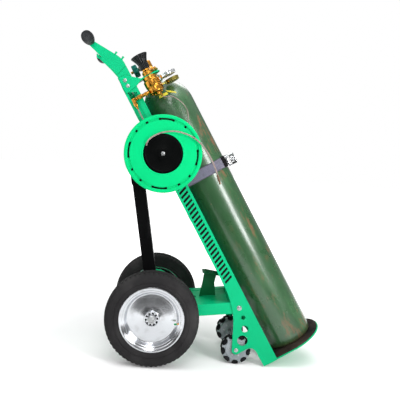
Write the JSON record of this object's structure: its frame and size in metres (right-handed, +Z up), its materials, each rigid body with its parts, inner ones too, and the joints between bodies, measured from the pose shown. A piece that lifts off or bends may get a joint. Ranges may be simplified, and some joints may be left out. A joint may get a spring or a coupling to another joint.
{
  "type": "gas cylinder cart",
  "caption": "Leaning wheeled cart with one strapped gas cylinder, brass regulator, hose reel, large rear wheels, small omni wheels and handle grips.",
  "frame": {"origin": "on the floor, under the middle of the cart's outline", "axes": "+X forward to the toe shelf, +Y to the cart's left, +Z up"},
  "size_m": [1.1784, 0.5533, 1.4268],
  "materials": {
    "green_paint": "semi-gloss",
    "dark_green_paint": "worn gloss",
    "case_green": "gloss",
    "black_paint": "satin",
    "rubber": "matte",
    "tyre_rubber": "matte",
    "black_plastic": "satin",
    "polished_aluminium": "polished",
    "zinc_steel": "satin",
    "chrome": "polished",
    "brass": "satin",
    "grey_plastic": "satin",
    "teal_plastic": "satin",
    "hose_skin": "matte",
    "webbing": "woven"
  },
  "bodies": {
    "cart": {"side_plate_right": "green_paint", "side_plate_left": "green_paint", "back_panel": "green_paint", "saddle_lower": "green_paint", "saddle_upper": "green_paint", "shelf_plate": "green_paint", "shelf_mat": "rubber", "handle_arm_right": "green_paint", "handle_arm_left": "green_paint", "handle_bar": "zinc_steel", "grip_right": "rubber", "grip_left": "rubber", "regulator_bracket": "green_paint", "tie_rod_upper": "zinc_steel", "tie_rod_lower": "zinc_steel", "post_tube": "black_paint", "post_sleeve": "black_paint", "post_pin_top": "zinc_steel", "post_lug": "black_paint", "gas_cylinder": "dark_green_paint", "cylinder_valve": "brass", "inlet_pipe": "brass", "regulator_body": "brass", "regulator_bonnet": "brass", "relief_valve": "brass", "gauge_case_high": "chrome", "gauge_case_low": "brass", "outlet_fitting": "brass", "reel_back_shell": "case_green", "reel_front_shell": "case_green", "reel_bolt": "zinc_steel", "supply_hose": "hose_skin", "sensing_line": "hose_skin", "free_hose": "hose_skin", "hose_end_fitting": "brass", "strap_band": "webbing", "buckle_base": "chrome", "carriage_arm_right": "green_paint", "carriage_arm_left": "green_paint", "carriage_cross_plate": "green_paint", "step_plate": "dark_green_paint", "axle_yoke": "green_paint", "axle": "zinc_steel", "carriage_bolt": "zinc_steel", "omni_axle": "zinc_steel"},
    "wheel_right": {"wheel_rim_right": "polished_aluminium", "tyre_right": "tyre_rubber"},
    "wheel_left": {"wheel_rim_left": "polished_aluminium", "tyre_left": "tyre_rubber"},
    "omni_right": {"omni_hub_right": "grey_plastic", "omni_rollers_right": "black_plastic"},
    "omni_left": {"omni_hub_left": "grey_plastic", "omni_rollers_left": "black_plastic"},
    "knob": {"regulator_knob": "black_plastic"},
    "handwheel": {"valve_handwheel": "teal_plastic"},
    "needle_high": {"gauge_needle_high": "black_plastic"},
    "needle_low": {"gauge_needle_low": "black_plastic"},
    "spool": {"reel_spool": "black_plastic", "wound_hose": "hose_skin"},
    "lever": {"buckle_lever": "chrome"}
  },
  "joints": [
    {"name": "wheel_right_spin", "type": "hinge", "parent": "cart", "child": "wheel_right", "pos_m": [-0.2012, -0.225, 0.207], "axis": [0, 1, 0], "continuous": true},
    {"name": "wheel_left_spin", "type": "hinge", "parent": "cart", "child": "wheel_left", "pos_m": [-0.2012, 0.225, 0.207], "axis": [0, 1, 0], "continuous": true},
    {"name": "omni_right_spin", "type": "hinge", "parent": "cart", "child": "omni_right", "pos_m": [0.1861, -0.137, 0.068], "axis": [0, 1, 0], "continuous": true},
    {"name": "omni_left_spin", "type": "hinge", "parent": "cart", "child": "omni_left", "pos_m": [0.1861, 0.137, 0.068], "axis": [0, 1, 0], "continuous": true},
    {"name": "knob_turn", "type": "hinge", "parent": "cart", "child": "knob", "pos_m": [-0.32693, -0.15, 1.32106], "axis": [0.5218, 0, -0.8531], "range_deg": [0, 1800]},
    {"name": "handwheel_turn", "type": "hinge", "parent": "cart", "child": "handwheel", "pos_m": [-0.36628, 0, 1.30872], "axis": [-0.8531, 0, -0.5218], "range_deg": [0, 1080]},
    {"name": "needle_high_swing", "type": "hinge", "parent": "cart", "child": "needle_high", "pos_m": [-0.21116, -0.172, 1.27933], "axis": [0.5218, 0, -0.8531], "range_deg": [0, 270], "stiffness_Nm_per_rad": 0.0005},
    {"name": "needle_low_swing", "type": "hinge", "parent": "cart", "child": "needle_low", "pos_m": [-0.19011, -0.11, 1.26408], "axis": [0.5218, 0, -0.8531], "range_deg": [0, 270], "stiffness_Nm_per_rad": 0.0005},
    {"name": "spool_spin", "type": "hinge", "parent": "cart", "child": "spool", "pos_m": [-0.20293, -0.214, 0.92568], "axis": [0, 1, 0], "continuous": true},
    {"name": "lever_swing", "type": "hinge", "parent": "cart", "child": "lever", "pos_m": [0.10179, 0, 0.92097], "axis": [-0.5218, 0, 0.8531], "range_deg": [0, 80]}
  ]
}
